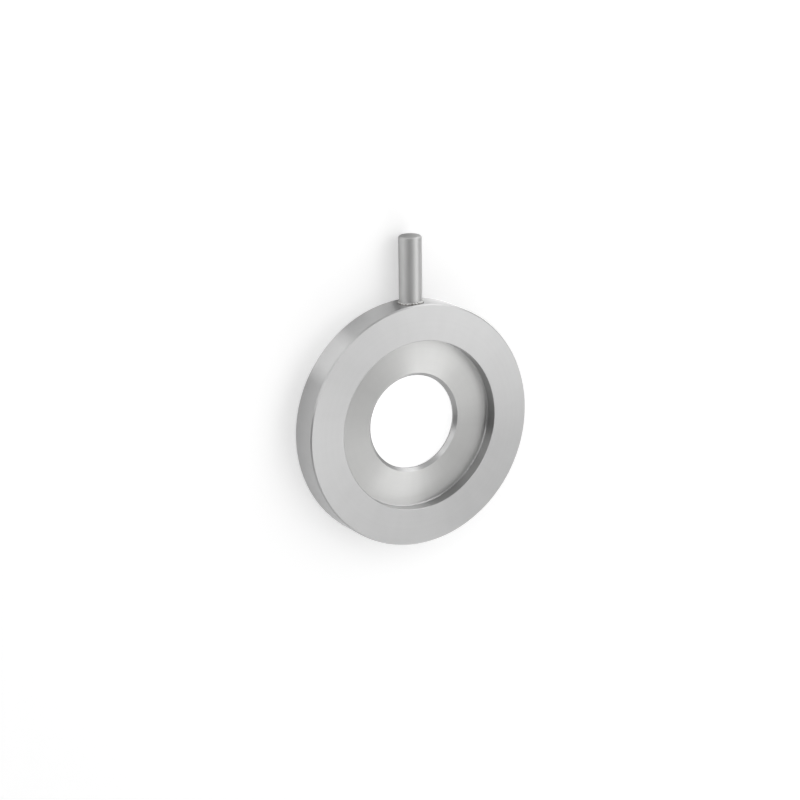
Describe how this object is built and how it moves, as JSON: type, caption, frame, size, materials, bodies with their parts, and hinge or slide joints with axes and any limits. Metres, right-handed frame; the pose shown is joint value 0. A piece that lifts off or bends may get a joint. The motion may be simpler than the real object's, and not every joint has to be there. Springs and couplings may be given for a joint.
{
  "type": "orifice plate",
  "caption": "Ring-type orifice plate: a thick turned ring recessed in each face, a thin web with a bevelled sharp-edged orifice, and a round bar handle welded to the rim.",
  "frame": {"origin": "on the bore axis, in the plane of the rear sealing face that the part lies on", "axes": "+Z along the bore axis, from the upstream rear face to the downstream front face; +Y from the bore axis along the handle"},
  "size_m": [0.192, 0.244, 0.025],
  "materials": {
    "turned_steel": "fine turned stainless steel, satin on the sealing faces",
    "bar_steel": "bright drawn stainless steel bar",
    "weld_metal": "as-welded bead, brushed clean"
  },
  "bodies": {
    "root": {"orifice_ring": "turned_steel", "handle_rod": "bar_steel", "handle_weld": "weld_metal"}
  },
  "joints": []
}
